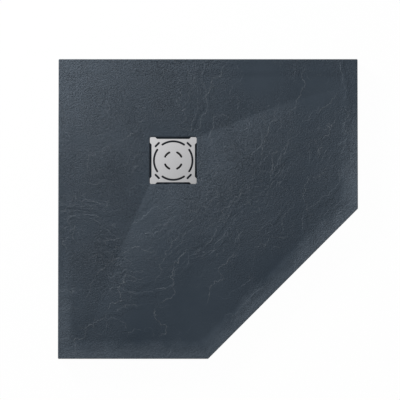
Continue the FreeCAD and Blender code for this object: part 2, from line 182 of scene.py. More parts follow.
def falls(x, y):  # the heights of the back, left and front falls at a place
    halfPocket = pocket["halfSide"]
    towardBack = y - wasteY - halfPocket
    towardLeft = wasteX - halfPocket - x
    towardFront = ((x - wasteX - halfPocket) - (y - wasteY - halfPocket)) / math.sqrt(2)
    return [
        fallHeight(towardBack, *tray["backFall"]),
        fallHeight(towardLeft, *tray["leftFall"]),
        fallHeight(towardFront, *tray["frontFall"]),
    ]


def borderShare(x, y):  # 0 on the open floor, 1 on the level border
    depth = insideDistance(x, y, trayCorners) + wander(x, y, tray["borderWander"])
    return eased((tray["borderWidth"] + tray["shoulderWidth"] - depth) / tray["shoulderWidth"])


def floorHeight(x, y):
    base = np.maximum(np.maximum.reduce(falls(x, y)), floorAtPocket)
    return base + (rimTop - base) * borderShare(x, y)


# a paler stretch along the border, on the side away from the waste
palerBand = {
    "depth": 0.062,
    "fade": 0.050,
    "wander": {"reach": 0.012, "cell": 0.06, "octaves": 3, "seed": 64},
    # it begins at the line y = start + slope * x and is full where y is less by the growth
    "start": 0.13,
    "slope": 0.52,
    "growth": 0.30,
}


def bandShare(x, y):  # up to 1 on the left, and more toward the right
    depth = insideDistance(x, y, trayCorners) + wander(x, y, palerBand["wander"])
    inFront = eased((palerBand["start"] + palerBand["slope"] * x - y) / palerBand["growth"])
    return eased((palerBand["depth"] - depth) / palerBand["fade"]) * inFront * (1 + np.clip(x, 0, 1))


slate = {
    "flowCentre": (-0.36, 0.33),                # the stone's layers run round this place
    "flowSeed": 5,
    "turnLength": 0.12,                         # the length along the layers for each radian round it
    "eddy": (-0.355, -0.055, 0.08, 0.06),       # place, radius and pull of a swirl in the layers
    "swirl": {"reach": 0.05, "cell": 0.19, "octaves": 3, "seed": 20},
    "plates": {"spacing": 0.024, "cell": 0.11, "rough": 1.5, "height": 0.00012, "riser": 0.0030, "seed": 7},
    "flakes": {"spacing": 0.0095, "cell": 0.05, "rough": 1.6, "height": 0.00006, "riser": 0.0028, "seed": 40},
    "roughOctaves": 5,
    "roughFade": 0.55,
    "levelTurn": 2.4,                           # a plate's height goes as the sine of its number times this
    "pebbles": {"reach": 0.00008, "cell": 0.015, "octaves": 2, "seed": 150},
    "grain": {"reach": 0.00007, "cell": 0.0064, "octaves": 1, "seed": 160},
    "sunk": 0.00050,                            # how far the relief's mean lies below the nominal floor
    # lengths over which the relief and the sinking grow from the rim, and both of them from the pocket
    "rimFade": 0.012,
    "sunkFade": 0.02,
    "pocketFade": 0.02,
    "pocketShare": 0.35,                        # what is left of the relief at the pocket
    # how strongly the plates stand out, and how strong the grain is
    "lively": {"base": 0.55, "limits": (0.05, 1), "calming": 0.9,
               "wander": {"reach": 0.9, "cell": 0.13, "octaves": 3, "seed": 77}},
    "grainy": {"base": 0.48, "limits": (0.06, 1.25), "calming": 0.5,
               "spots": 0.67, "band": 0.35, "even": 0.95,
               "wander": {"reach": 0.4, "cell": 0.07, "octaves": 3, "seed": 81}},
    # place and radius of the calmer stretches, of the flaky ones and of the grainy ones
    "calmSpots": [(0.16, 0.40, 0.08), (0.33, 0.36, 0.07), (-0.02, -0.33, 0.14), (0.22, -0.20, 0.07),
                  (-0.20, -0.33, 0.05), (-0.13, 0.20, 0.05)],
    "flakeSpots": [(0.06, 0.03, 0.16), (0.00, -0.08, 0.11), (0.16, 0.12, 0.11), (-0.36, -0.06, 0.12),
                   (-0.27, -0.17, 0.12), (0.34, 0.20, 0.08), (-0.12, -0.14, 0.10)],
    "grainSpots": [(-0.40, 0.30, 0.26), (-0.15, 0.38, 0.14), (0.00, 0.08, 0.14), (0.10, 0.16, 0.12),
                   (-0.34, 0.13, 0.14), (-0.32, -0.15, 0.09)],
}


def spotted(x, y, spots):  # up to 1 near the middles of the spots
    total = np.zeros(np.shape(x))
    for spotX, spotY, radius in spots:
        total = np.maximum(total, np.exp(-((x - spotX) ** 2 + (y - spotY) ** 2) / radius ** 2))
    return total


def streaked(x, y, seed):  # coordinates along and across the stone's layers
    eddyX, eddyY, radius, pull = slate["eddy"]
    bent = x + wander(x, y, slate["swirl"], seed)
    lifted = y + wander(x, y, slate["swirl"], seed + 10)
    centreX, centreY = slate["flowCentre"]
    across = np.hypot(bent - centreX, lifted - centreY)
    across += pull * np.exp(-((bent - eddyX) ** 2 + (lifted - eddyY) ** 2) / radius ** 2)
    along = np.arctan2(lifted - centreY, bent - centreX)
    return slate["turnLength"] * along, across


def plateSteps(x, y, kind):  # thin plates of stone that end in steps: heights, count of steps, its gradient
    def countAt(px, py):
        across = streaked(px, py, kind["seed"])[1]
        rough = layered(px, py, kind["cell"], slate["roughOctaves"], kind["seed"], slate["roughFade"])
        return across / kind["spacing"] + kind["rough"] * rough

    nudge = 0.0004              # the length over which the gradient is taken
    count = countAt(x, y)
    steepness = np.hypot(countAt(x + nudge, y) - count, countAt(x, y + nudge) - count) / nudge + 1
    nearest = np.round(count)
    below, above = np.sin(slate["levelTurn"] * (nearest - 1)), np.sin(slate["levelTurn"] * nearest)
    rise = eased(0.5 + (count - nearest) / steepness / kind["riser"])
    return kind["height"] * (below + (above - below) * rise), count, steepness


def stoneRelief(x, y):  # heights, and the fields that the gel coat's material draws finer steps from
    plates, plateCount, plateSteepness = plateSteps(x, y, slate["plates"])
    flakes, flakeCount, flakeSteepness = plateSteps(x, y, slate["flakes"])
    calm = spotted(x, y, slate["calmSpots"])
    mix = slate["lively"]
    lively = np.clip(mix["base"] + wander(x, y, mix["wander"]), *mix["limits"]) * (1 - mix["calming"] * calm)
    flaky = spotted(x, y, slate["flakeSpots"]) * lively
    mix = slate["grainy"]
    grainy = np.maximum(spotted(x, y, slate["grainSpots"]), mix["band"] * bandShare(x, y))
    grainy = mix["base"] + mix["spots"] * grainy - mix["calming"] * calm
    grainy = np.clip(grainy * (mix["even"] + wander(x, y, mix["wander"])), *mix["limits"])
    along, across = streaked(x, y, slate["flowSeed"])
    relief = plates * lively + flakes * flaky
    relief += wander(along, across, slate["pebbles"]) * lively
    relief += wander(x, y, slate["grain"]) * grainy
    return relief, {            # the steepness is in steps for each millimetre
        "plateCount": plateCount, "plateSteepness": plateSteepness / 1000, "plateStrength": lively,
        "flakeCount": flakeCount, "flakeSteepness": flakeSteepness / 1000, "flakeStrength": flaky,
        "grainy": grainy,
    }


veins = {
    "height": 0.00013,
    "stepShare": 0.55,          # a vein is in part a step from one side to the other, and in part a crest
    "crestShare": 0.45,
    "reach": 0.006,             # over this length the step dies away to both sides
    "crest": 0.0016,
    "wander": 0.20,             # how far a vein strays from its straight runs, as a share of their length
    "halvings": 4,
    "fading": 5,                # a vein fades in, and out again, over its length divided by this
    "search": 0.02,             # how far round a vein the points are measured
    "farGap": 0.05,             # the gap given to points that lie farther off
    "seed": 21,
    # strength, then places in millimetres from the tray's middle
    "paths": [
        (1.0, (54, 442), (42, 417), (27, 396), (9, 381), (3, 354), (-9, 336), (-24, 327)),
        (0.5, (-42, 442), (-42, 387), (-54, 357), (-57, 321), (-69, 291)),
        (0.8, (289, 427), (283, 402), (292, 372), (280, 342), (265, 324), (253, 297), (247, 261)),
        (1.0, (214, 306), (208, 267), (184, 246), (172, 207), (163, 177), (157, 147)),
        (0.6, (268, 246), (262, 216), (232, 186), (205, 174), (190, 147), (193, 110), (190, 86)),
        (0.8, (415, 312), (382, 282), (358, 252), (355, 219), (343, 192), (328, 171), (325, 141)),
        (0.7, (394, 351), (373, 327), (352, 306), (325, 282)),
        (0.7, (358, 141), (352, 110), (328, 95), (289, 71), (289, 26), (298, -10), (313, -49)),
        (0.7, (114, 71), (96, 56), (84, 35), (63, 5), (42, -10), (27, -40)),
        (0.6, (66, 50), (21, 35), (-24, 5), (-69, -25)),
        (0.6, (42, 132), (12, 116), (-12, 104)),
        (0.5, (78, 195), (51, 189), (33, 171)),
        (0.7, (-84, -82), (-108, -106), (-126, -127), (-138, -160), (-144, -200), (-150, -233)),
        (0.9, (-42, -97), (-84, -145), (-108, -169), (-114, -206), (-129, -275), (-154, -287)),
        (0.9, (-154, -287), (-160, -311), (-154, -335), (-126, -350), (-129, -377), (-150, -380)),
        (0.8, (93, -136), (66, -145), (48, -169), (42, -215), (6, -236), (3, -260), (-9, -296)),
        (0.5, (247, -64), (208, -85), (172, -112), (126, -139)),
        (1.0, (-244, -185), (-250, -221), (-259, -275), (-295, -287), (-298, -311)),
        (1.0, (-298, -311), (-325, -335), (-367, -356), (-400, -401), (-424, -440)),
        (0.8, (-144, -115), (-205, -115), (-250, -130), (-289, -160), (-340, -206), (-373, -275)),
        (0.7, (-445, -10), (-415, 14), (-370, 26), (-325, 14), (-295, 5)),
        (0.6, (-394, -10), (-412, -25), (-415, -55), (-400, -94), (-379, -124)),
        (0.5, (-439, 26), (-400, 44), (-355, 50)),
        (0.6, (-445, -82), (-427, -109), (-412, -130)),
        (0.8, (-163, 291), (-190, 276), (-208, 261), (-217, 231), (-244, 216), (-289, 192)),
        (0.7, (-289, 192), (-325, 171), (-364, 132), (-388, 86)),
        (0.5, (-205, 177), (-223, 147), (-235, 110)),
        (0.5, (-90, 240), (-69, 240), (-33, 234)),
    ],
}


def brokenPath(path, random):  # a vein's path with its straight runs halved and bent, again and again
    points = [np.array(point, float) / 1000 for point in path]
    for _ in range(veins["halvings"]):
        broken = [points[0]]
        for start, end in zip(points, points[1:]):
            run = end - start
            stray = random.normal() * veins["wander"] * np.array([-run[1], run[0]])
            broken += [(start + end) / 2 + stray, end]
        points = broken
    return np.array(points)


def veinField(x, y):  # each place's signed distance from the nearest vein, and how strong the vein is there
    random = np.random.default_rng(veins["seed"])
    gap = np.full(len(x), veins["farGap"])
    strength = np.zeros(len(x))
    for weight, *path in veins["paths"]:
        line = brokenPath(path, random)
        low, high = line.min(0) - veins["search"], line.max(0) + veins["search"]
        near = np.flatnonzero((x > low[0]) & (x < high[0]) & (y > low[1]) & (y < high[1]))
        place = np.column_stack([x[near], y[near]])
        start, run = line[:-1], line[1:] - line[:-1]
        offset = place[:, None, :] - start[None]
        share = np.clip((offset * run).sum(2) / (run * run).sum(1), 0, 1)
        away = offset - share[:, :, None] * run
        distance = np.hypot(away[:, :, 0], away[:, :, 1])
        pick = distance.argmin(1)
        rows = np.arange(len(near))
        side = np.sign(run[pick, 0] * offset[rows, pick, 1] - run[pick, 1] * offset[rows, pick, 0])
        travelled = (pick + share[rows, pick]) / len(run)
        fading = np.minimum(1, veins["fading"] * np.minimum(travelled, 1 - travelled))
        signed = distance[rows, pick] * np.where(side == 0, 1, side)
        closer = np.abs(signed) < np.abs(gap[near])
        gap[near[closer]] = signed[closer]
        strength[near[closer]] = (weight * fading)[closer]
    return gap, strength


def veinRelief(gap, strength):
    step = np.tanh(gap / veins["crest"]) * np.exp(-np.abs(gap) / veins["reach"])
    crest = np.exp(-(gap / veins["crest"]) ** 2)
    return veins["height"] * strength * (veins["stepShare"] * step + veins["crestShare"] * crest)


tintAndPaintedLight = {
    # place, radius and strength of each patch, paler above 0 and darker below; the strong pale patch toward
    # the back left corner is painted light on the lamp's side, and the others make the gel coat paler or
    # darker here and there
    "tonePatchesAndPaintedLight": [
        (-0.46, 0.42, 0.24, 0.36),
        (-0.42, 0.20, 0.22, 0.08),
        (-0.10, 0.42, 0.20, 0.06),
        (-0.43, -0.15, 0.20, 0.06),
        (0.43, 0.28, 0.18, 0.10),
        (0.02, 0.01, 0.10, 0.07),
        (-0.16, 0.21, 0.09, -0.04),
        (-0.25, 0.03, 0.08, -0.04),
        (-0.22, -0.43, 0.14, -0.12),
        (0.24, -0.22, 0.12, -0.13),
        (0.08, -0.37, 0.10, -0.06),
        (-0.44, -0.31, 0.10, 0.06),
        (0.46, 0.08, 0.12, 0.14),
    ],
    "bandPaling": 0.40,
    # painted light: the front fall faces the lamp and is drawn paler near the pocket; it fades over these
    # heights at its creases and its crest
    "frontPaintedLight": 0.175,
    "frontReach": 0.36,
    "creaseFade": 0.0002,
    "crestFade": 0.003,
}


def paleness(x, y):  # how pale the gel coat is drawn at a place, before clouds and mottle, with painted light included
    back, left, front = falls(x, y)
    paling = np.zeros(len(x))
    # painted light toward the back left corner, on the lamp's side, together with patches of paler and darker
    # tone
    for placeX, placeY, radius, strength in tintAndPaintedLight["tonePatchesAndPaintedLight"]:
        paling += strength * np.exp(-((x - placeX) ** 2 + (y - placeY) ** 2) / radius ** 2)
    away = np.hypot(x - wasteX, y - wasteY)
    belowCrest = eased((floorLevel - front) / tintAndPaintedLight["crestFade"])
    frontFall = eased((front - np.maximum(back, left)) / tintAndPaintedLight["creaseFade"] + 0.5) * belowCrest
    # painted light on the front fall, which faces the lamp
    paling += tintAndPaintedLight["frontPaintedLight"] * frontFall * np.exp(-(away / tintAndPaintedLight["frontReach"]) ** 4)
    return paling + tintAndPaintedLight["bandPaling"] * bandShare(x, y)


class Shell:  # gathers the points and faces of one mesh
    def __init__(self):
        self.points = []
        self.faces = []
        self.materials = []

    def loop(self, flat, height):
        first = len(self.points)
        heights = np.broadcast_to(height, len(flat))
        self.points += [(px, py, pz) for (px, py), pz in zip(flat.tolist(), heights.tolist())]
        return list(range(first, first + len(flat)))

    def bridge(self, one, other, material=0):
        for index in range(len(one)):
            following = (index + 1) % len(one)
            self.faces.append((one[index], one[following], other[following], other[index]))
            self.materials.append(material)

    def sheet(self, outer, inner, loose, material=0):  # fills between two loops, through loose points
        numbers = outer + inner + loose
        flat = [Vector(self.points[number][:2]) for number in numbers]
        rims = []
        for first, count in ((0, len(outer)), (len(outer), len(inner))):
            rims += [(first + n, first + (n + 1) % count) for n in range(count)]
        found = delaunay_2d_cdt(flat, rims, [], 1, 1e-7)[2]     # 1 leaves out what lies outside the rims
        innerRange = range(len(outer), len(outer) + len(inner))
        for face in found:
            if not all(corner in innerRange for corner in face):
                self.faces.append(tuple(numbers[corner] for corner in face))
                self.materials.append(material)


def loosePoints(spacing, margin, holeDistance):  # a grid, without the points that come too near to a loop
    room = spacing * 0.45       # kept free beside each loop
    ticks = np.arange(-halfSide, halfSide + spacing / 2, spacing)
    x, y = (axis.ravel() for axis in np.meshgrid(ticks, ticks))
    keep = (insideDistance(x, y, trayCorners) > margin + room) & (holeDistance(x, y) > room)
    return np.column_stack([x[keep], y[keep]])


def shapeFloor(shell):  # gives back the numbers of the rim's points and of the pocket mouth's, and the fields
    rimRadius, lip = tray["rimRadius"], pocket["lipRadius"]

    def fromMouth(x, y):
        return -lip - insideDistance(x, y, pocketCorners)

    rim, mouth = trayLoop(rimRadius), pocketLoop(lip)
    flat = np.vstack([rim, mouth, loosePoints(tray["spacing"], rimRadius, fromMouth)])
    x, y = flat[:, 0], flat[:, 1]
    gap, strength = veinField(x, y)
    fromRim = insideDistance(x, y, trayCorners) - rimRadius
    offPocket = eased(fromMouth(x, y) / slate["pocketFade"])
    shown = slate["pocketShare"] + (1 - slate["pocketShare"]) * offPocket
    shown = eased(fromRim / slate["rimFade"]) * shown
    stone, fields = stoneRelief(x, y)
    relief = (stone + veinRelief(gap, strength)) * shown
    sinking = slate["sunk"] * eased(fromRim / slate["sunkFade"]) * offPocket
    numbers = shell.loop(flat, np.minimum(floorHeight(x, y) + relief - sinking, rimTop))
    rimEnd, mouthEnd = len(rim), len(rim) + len(mouth)
    shell.sheet(numbers[:rimEnd], numbers[rimEnd:mouthEnd], numbers[mouthEnd:])
    print("shower floor:", len(shell.faces), "faces")
    fields["plateStrength"] = fields["plateStrength"] * shown
    fields["flakeStrength"] = fields["flakeStrength"] * shown
    fields["veinGap"] = gap * 1000
    fields["veinStrength"] = strength
    return numbers[:rimEnd], numbers[rimEnd:mouthEnd], fields


def shapeSides(shell, previous):  # the rim's rounding, the sides and the bottom edge
    rimRadius, bevel = tray["rimRadius"], tray["bottomBevel"]
    for angle in np.radians([22.5, 45, 67.5, 90]):
        inset = rimRadius * (1 - math.sin(angle))
        current = shell.loop(trayLoop(inset), rimTop - rimRadius * (1 - math.cos(angle)))
        shell.bridge(previous, current)
        previous = current
    outside = trayLoop(0)
    probe = 0.001               # a small inset, which shows the way inward at each point
    inward = (trayLoop(probe) - outside) / probe
    runLength = np.cumsum(np.linalg.norm(np.roll(outside, -1, axis=0) - outside, axis=1))
    for level in tray["sideLevels"]:
        wave = wander(runLength, np.full(len(outside), level), tray["ripple"])
        ripple = tray["rippleDepth"] * np.clip(0.5 + wave, 0, 1)
        current = shell.loop(outside + inward * ripple[:, None], level)
        shell.bridge(previous, current)
        previous = current
    for inset, level in ((0, bevel), (bevel, 0)):
        current = shell.loop(trayLoop(inset), level)
        shell.bridge(previous, current)
        previous = current
    return previous


def shapePocket(shell, previous):  # the pocket's lip and wall, the rebate, the waste hole and the recess
    lip, foot = pocket["lipRadius"], pocket["footRadius"]
    mouthHeights = np.array([shell.points[number][2] for number in previous])
    for angle in np.radians([30, 60, 90]):
        outset = lip * (1 - math.sin(angle))
        current = shell.loop(pocketLoop(outset), mouthHeights - lip * (1 - math.cos(angle)))
        shell.bridge(previous, current)
        previous = current
    for angle in np.radians([0, 30, 60, 90]):
        outset = -foot * (1 - math.cos(angle))
        current = shell.loop(pocketLoop(outset), pocketFloor + foot * (1 - math.sin(angle)))
        shell.bridge(previous, current)
        previous = current
    turns = [
        (pocket["rebateRadius"], pocketFloor),
        (pocket["rebateRadius"], rebateFloor),
        (pocket["holeRadius"], rebateFloor),
        (pocket["holeRadius"], recessTop),
        (pocket["rebateRadius"], recessTop),
        (pocket["rebateRadius"], 0),
    ]
    for radius, height in turns:
        current = shell.loop(wasteCircle(radius), height)
        shell.bridge(previous, current, material=1 if height <= recessTop else 0)
        previous = current
    return previous


def writeFields(mesh, points, fields):  # what the gel coat reads; sides, pocket and underside have no steps
    topCount = len(fields["grainy"])
    rest = stoneRelief(points[topCount:, 0], points[topCount:, 1])[1]
    for name in ("plateStrength", "flakeStrength", "veinGap", "veinStrength"):
        rest[name] = np.zeros(len(points) - topCount)
    fields = {name: np.concatenate([field, rest[name]]) for name, field in fields.items()}
    fields["paling"] = paleness(points[:, 0], points[:, 1])
    for name, field in fields.items():
        mesh.attributes.new(name, "FLOAT", "POINT").data.foreach_set("value", field.astype(np.float32))


def fromWaste(x, y):
    return np.hypot(x - wasteX, y - wasteY) - pocket["rebateRadius"]


def buildTray():
    shell = Shell()
    rim, mouth, fields = shapeFloor(shell)
    underRim = shapeSides(shell, rim)
    underHole = shapePocket(shell, mouth)
    loose = loosePoints(tray["underSpacing"], tray["underMargin"], fromWaste)
    shell.sheet(underRim, underHole, shell.loop(loose, 0), material=1)
    mesh = bpy.data.meshes.new("slateTray")
    mesh.from_pydata(shell.points, [], shell.faces)
    mesh.polygons.foreach_set("material_index", shell.materials)
    mesh.polygons.foreach_set("use_smooth", [True] * len(mesh.polygons))
    writeFields(mesh, np.array(shell.points), fields)
    mesh.update()
    mesh.set_sharp_from_angle(angle=sharpAngle)
    slab = bpy.data.objects.new("slateTray", mesh)
    bpy.context.scene.collection.objects.link(slab)
    return slab


class Recipe:  # the nodes of one material or of the world
    def __init__(self, owner):
        owner.use_nodes = True
        self.nodes, self.links = owner.node_tree.nodes, owner.node_tree.links
        self.nodes.clear()

    def noise(self, scale, detail=3.0, stretch=(1, 1, 1), roughness=0.5):
        place = self.nodes.new("ShaderNodeTexCoord")
        mapping = self.nodes.new("ShaderNodeMapping")
        mapping.inputs["Scale"].default_value = stretch
        texture = self.nodes.new("ShaderNodeTexNoise")
        texture.inputs["Scale"].default_value = scale
        texture.inputs["Detail"].default_value = detail
        texture.inputs["Roughness"].default_value = roughness
        self.links.new(place.outputs["Object"], mapping.inputs["Vector"])
        self.links.new(mapping.outputs["Vector"], texture.inputs["Vector"])
        return texture.outputs["Fac"]

    def attribute(self, name):
        node = self.nodes.new("ShaderNodeAttribute")
        node.attribute_name = name
        return node.outputs["Fac"]

    def ranged(self, value, low, high, fromLow=0.0, fromHigh=1.0):
        node = self.nodes.new("ShaderNodeMapRange")
        node.inputs["From Min"].default_value = fromLow
        node.inputs["From Max"].default_value = fromHigh
        node.inputs["To Min"].default_value = low
        node.inputs["To Max"].default_value = high
        self.links.new(value, node.inputs["Value"])
        return node.outputs["Result"]

    def swung(self, value, reach, fromLow=0.0, fromHigh=1.0):  # ranged to both sides of 0
        return self.ranged(value, -reach, reach, fromLow, fromHigh)

    def combined(self, operation, one, other=0.0, clamped=False):
        node = self.nodes.new("ShaderNodeMath")
        node.operation = operation
        node.use_clamp = clamped
        for socket, value in zip(node.inputs, (one, other)):
            if isinstance(value, (int, float)):
                socket.default_value = value
            else:
                self.links.new(value, socket)
        return node.outputs[0]

    def blended(self, share, one, other):
        node = self.nodes.new("ShaderNodeMix")
        node.data_type = "RGBA"
        self.links.new(share, node.inputs["Factor"])
        colourSockets = [socket for socket in node.inputs if socket.type == "RGBA"]
        for socket, value in zip(colourSockets, (one, other)):
            if isinstance(value, tuple):
                socket.default_value = (*value, 1)
            else:
                self.links.new(value, socket)
        return [socket for socket in node.outputs if socket.type == "RGBA"][0]

    def looking(self):  # 1 where the camera, a reflection or a refraction looks
        path = self.nodes.new("ShaderNodeLightPath")
        seen = self.combined("ADD", path.outputs["Is Camera Ray"], path.outputs["Is Glossy Ray"])
        return self.combined("ADD", seen, path.outputs["Is Transmission Ray"], clamped=True)

    def mixed(self, share, one, other, output):  # two shaders, into the output node
        mix = self.nodes.new("ShaderNodeMixShader")
        self.links.new(share, mix.inputs[0])
        self.links.new(one.outputs[0], mix.inputs[1])
        self.links.new(other.outputs[0], mix.inputs[2])
        self.links.new(mix.outputs[0], output.inputs["Surface"])


class Finish(Recipe):  # a material with one Principled shader
    def __init__(self, name):
        self.material = bpy.data.materials.new(name)
        super().__init__(self.material)
        output = self.nodes.new("ShaderNodeOutputMaterial")
        self.shader = self.nodes.new("ShaderNodeBsdfPrincipled")
        self.links.new(self.shader.outputs["BSDF"], output.inputs["Surface"])

    def surface(self, colour, roughness, shine=0.5, metallic=0.0):
        self.links.new(colour, self.shader.inputs["Base Color"])
        self.links.new(roughness, self.shader.inputs["Roughness"])
        self.shader.inputs["Specular IOR Level"].default_value = shine
        self.shader.inputs["Metallic"].default_value = metallic

    def bump(self, height, distance, strength=1.0):
        node = self.nodes.new("ShaderNodeBump")
        node.inputs["Strength"].default_value = strength
        node.inputs["Distance"].default_value = distance
        self.links.new(height, node.inputs["Height"])
        self.links.new(node.outputs["Normal"], self.shader.inputs["Normal"])


midRange = (0.25, 0.75)             # most of a noise lies between these
millimetre = 0.001
gelCoat = {
    "deep": (0.0146, 0.0248, 0.0375),
    "pale": (0.0885, 0.112, 0.139),
    # painted highlight: the pale colour drawn along the steps that face the lamp and along the veins
    "line": (0.15, 0.17, 0.19),     # along steps and veins
    "base": 0.17,                   # how pale the coat is where no patch, band or painted light makes it paler
    "cloudScale": 9,
    "cloudRange": (0.3, 0.7),
    "cloudReach": 0.05,
    "grainScale": 215,
    "grainReach": 0.5,
    "mottleReach": 0.50,            # how far the grain changes the colour
    "roughness": (0.50, 0.66),
    "roughRange": (-0.1, 0.1),      # the mottle that these two belong to
    "shine": 0.22,
    # least and greatest strength of the lines along steps and veins, and the noise that breaks them up
    "stepShare": (0.0, 0.32),
    "stepBreaks": 60,
    "veinShare": (0.2, 0.8),
    "veinBreaks": 75,
    "breakRange": (0.4, 0.58),
    # how far the lines stray and how wide they are, in millimetres
    "strayScale": 170,
    "stepStray": 1.4,
    "stepHighlight": 1.1,
    "veinStray": 2.0,
    "veinLine": 1.0,
    "lineCore": 0.3,                # the share of a line's width that is at full strength
    # half the width of a step, and the heights of the bumps, in millimetres
    "halfStep": {"plate": 0.8, "flake": 0.7},
    "bumps": {"grain": 6.0, "plate": 0.31, "flake": 0.18, "vein": 0.50},
}


def strayed(coat, gap, reach):  # moves a gap by up to reach here and there, so that lines run unevenly
    stray = coat.noise(gelCoat["strayScale"], 4, roughness=0.7)
    return coat.combined("ADD", gap, coat.swung(stray, reach, *midRange))


def lineShare(coat, gap, width):  # 1 along a line where the gap is 0, and 0 away from it
    return coat.ranged(coat.combined("ABSOLUTE", gap), 1.0, 0.0, gelCoat["lineCore"] * width, width)


def fineSteps(coat, name):  # a step's bump height, and a painted highlight along each step that faces the lamp
    half, levelTurn = gelCoat["halfStep"][name], slate["levelTurn"]
    count = coat.attribute(name + "Count")
    nearest = coat.combined("ROUND", count)
    gap = coat.combined("SUBTRACT", count, nearest)
    gap = coat.combined("DIVIDE", gap, coat.attribute(name + "Steepness"))
    gap = strayed(coat, gap, gelCoat["stepStray"])
    angle = coat.combined("MULTIPLY", nearest, levelTurn)
    above = coat.combined("SINE", angle)
    below = coat.combined("SINE", coat.combined("SUBTRACT", angle, levelTurn))
    climb = coat.combined("SUBTRACT", above, below)
    rise = coat.combined("MULTIPLY", climb, coat.ranged(gap, 0.0, 1.0, -half, half))
    strength = coat.attribute(name + "Strength")
    height = coat.combined("MULTIPLY", coat.combined("ADD", below, rise), strength)
    facing = coat.combined("MULTIPLY", climb, strength, clamped=True)
    return height, coat.combined("MULTIPLY", facing, lineShare(coat, gap, gelCoat["stepHighlight"]))


def slateGelCoat():
    coat = Finish("slateGelCoat")
    grainy = coat.attribute("grainy")
    clouds = coat.swung(coat.noise(gelCoat["cloudScale"], 4), gelCoat["cloudReach"], *gelCoat["cloudRange"])
    mottle = coat.noise(gelCoat["grainScale"], 4, roughness=0.75)
    mottle = coat.combined("MULTIPLY", coat.swung(mottle, gelCoat["mottleReach"], *midRange), grainy)
    # this paling holds painted light as well as patches of tone and the paler border
    share = coat.combined("ADD", coat.attribute("paling"), clouds)
    share = coat.combined("ADD", share, mottle)
    share = coat.combined("ADD", share, gelCoat["base"], clamped=True)
    colour = coat.blended(share, gelCoat["deep"], gelCoat["pale"])

    plateHeight, plateHighlight = fineSteps(coat, "plate")
    flakeHeight, flakeHighlight = fineSteps(coat, "flake")
    broken = coat.ranged(coat.noise(gelCoat["stepBreaks"]), *gelCoat["stepShare"], *gelCoat["breakRange"])
    # painted highlight along the steps that face the lamp
    stepHighlight = coat.combined("MULTIPLY", coat.combined("MAXIMUM", plateHighlight, flakeHighlight), broken)
    colour = coat.blended(stepHighlight, colour, gelCoat["line"])

    # painted highlight: a pale line along each vein, standing in for the light caught by the vein's step and
    # crest
    veinGap = strayed(coat, coat.attribute("veinGap"), gelCoat["veinStray"])
    veinLine = lineShare(coat, veinGap, gelCoat["veinLine"])
    veinLine = coat.combined("MULTIPLY", veinLine, coat.attribute("veinStrength"))
    broken = coat.ranged(coat.noise(gelCoat["veinBreaks"]), *gelCoat["veinShare"], *gelCoat["breakRange"])
    colour = coat.blended(coat.combined("MULTIPLY", veinLine, broken), colour, gelCoat["line"])
    coat.surface(colour, coat.ranged(mottle, *gelCoat["roughness"], *gelCoat["roughRange"]), gelCoat["shine"])

    grain = coat.swung(coat.noise(gelCoat["grainScale"], 4, roughness=0.7), gelCoat["grainReach"])
    grain = coat.combined("MULTIPLY", grain, grainy)
    height = coat.combined("MULTIPLY", grain, gelCoat["bumps"]["grain"])
    for field, name in ((plateHeight, "plate"), (flakeHeight, "flake"), (veinLine, "vein")):
        height = coat.combined("ADD", height, coat.combined("MULTIPLY", field, gelCoat["bumps"][name]))
    coat.bump(height, millimetre)
    return coat.material


underside = {
    "grey": (0.30, 0.31, 0.31),
    "palerGrey": (0.46, 0.46, 0.44),
    "stain": (0.24, 0.25, 0.26),
    "stainShare": (0.0, 0.5),
    "stainRange": (0.4, 0.7),
    "stainScale": 12,
    "gritScale": 350,
    "gritHeight": 0.8,          # against the print of the mesh
    "roughness": (0.75, 0.95),
    "shine": 0.3,
    "bump": 0.0004,
    "bumpStrength": 0.7,
    # the print of the glass mesh laid in the casting
    "meshScale": 100,
    "meshStep": 0.5,
    "meshLine": 0.06,
    "meshSoftness": 0.6,
}


def castUnderside():
    cast = Finish("castUnderside")
    grit = cast.noise(underside["gritScale"], 4)
    stain = cast.noise(underside["stainScale"])
    stain = cast.ranged(stain, *underside["stainShare"], *underside["stainRange"])
    colour = cast.blended(grit, underside["grey"], underside["palerGrey"])
    colour = cast.blended(stain, colour, underside["stain"])
    cast.surface(colour, cast.ranged(grit, *underside["roughness"]), underside["shine"])
    place = cast.nodes.new("ShaderNodeTexCoord")
    weave = cast.nodes.new("ShaderNodeTexBrick")
    weave.offset = 0
    weave.inputs["Scale"].default_value = underside["meshScale"]
    weave.inputs["Brick Width"].default_value = underside["meshStep"]
    weave.inputs["Row Height"].default_value = underside["meshStep"]
    weave.inputs["Mortar Size"].default_value = underside["meshLine"]
    weave.inputs["Mortar Smooth"].default_value = underside["meshSoftness"]
    cast.links.new(place.outputs["Object"], weave.inputs["Vector"])
    height = cast.combined("MULTIPLY", grit, underside["gritHeight"])
    height = cast.combined("ADD", weave.outputs["Fac"], height)
    cast.bump(height, underside["bump"], underside["bumpStrength"])
    return cast.material


brushing = {                    # what the steel pieces have in common
    "scale": 260,
    "cloudScale": 25,
    "shadeAndBrushTone": 0.62,               # the darker tone, as a share of the colour: painted shade toward the front right corner, and the darker brush marks
    "toneReach": 0.25,
    "roughReach": 0.05,
    "cloudReach": 0.03,
    "bump": 0.00008,
    "bumpStrength": 0.5,
}


def paintedSheen(steel):  # painted sheen: paler toward the back left corner, on the lamp's side
    place = steel.nodes.new("ShaderNodeTexCoord")
    split = steel.nodes.new("ShaderNodeSeparateXYZ")
    steel.links.new(place.outputs["Generated"], split.inputs[0])
    slant = steel.combined("SUBTRACT", split.outputs["Y"], split.outputs["X"])
    return steel.ranged(slant, 0.0, 1.0, -1.0, 1.0)


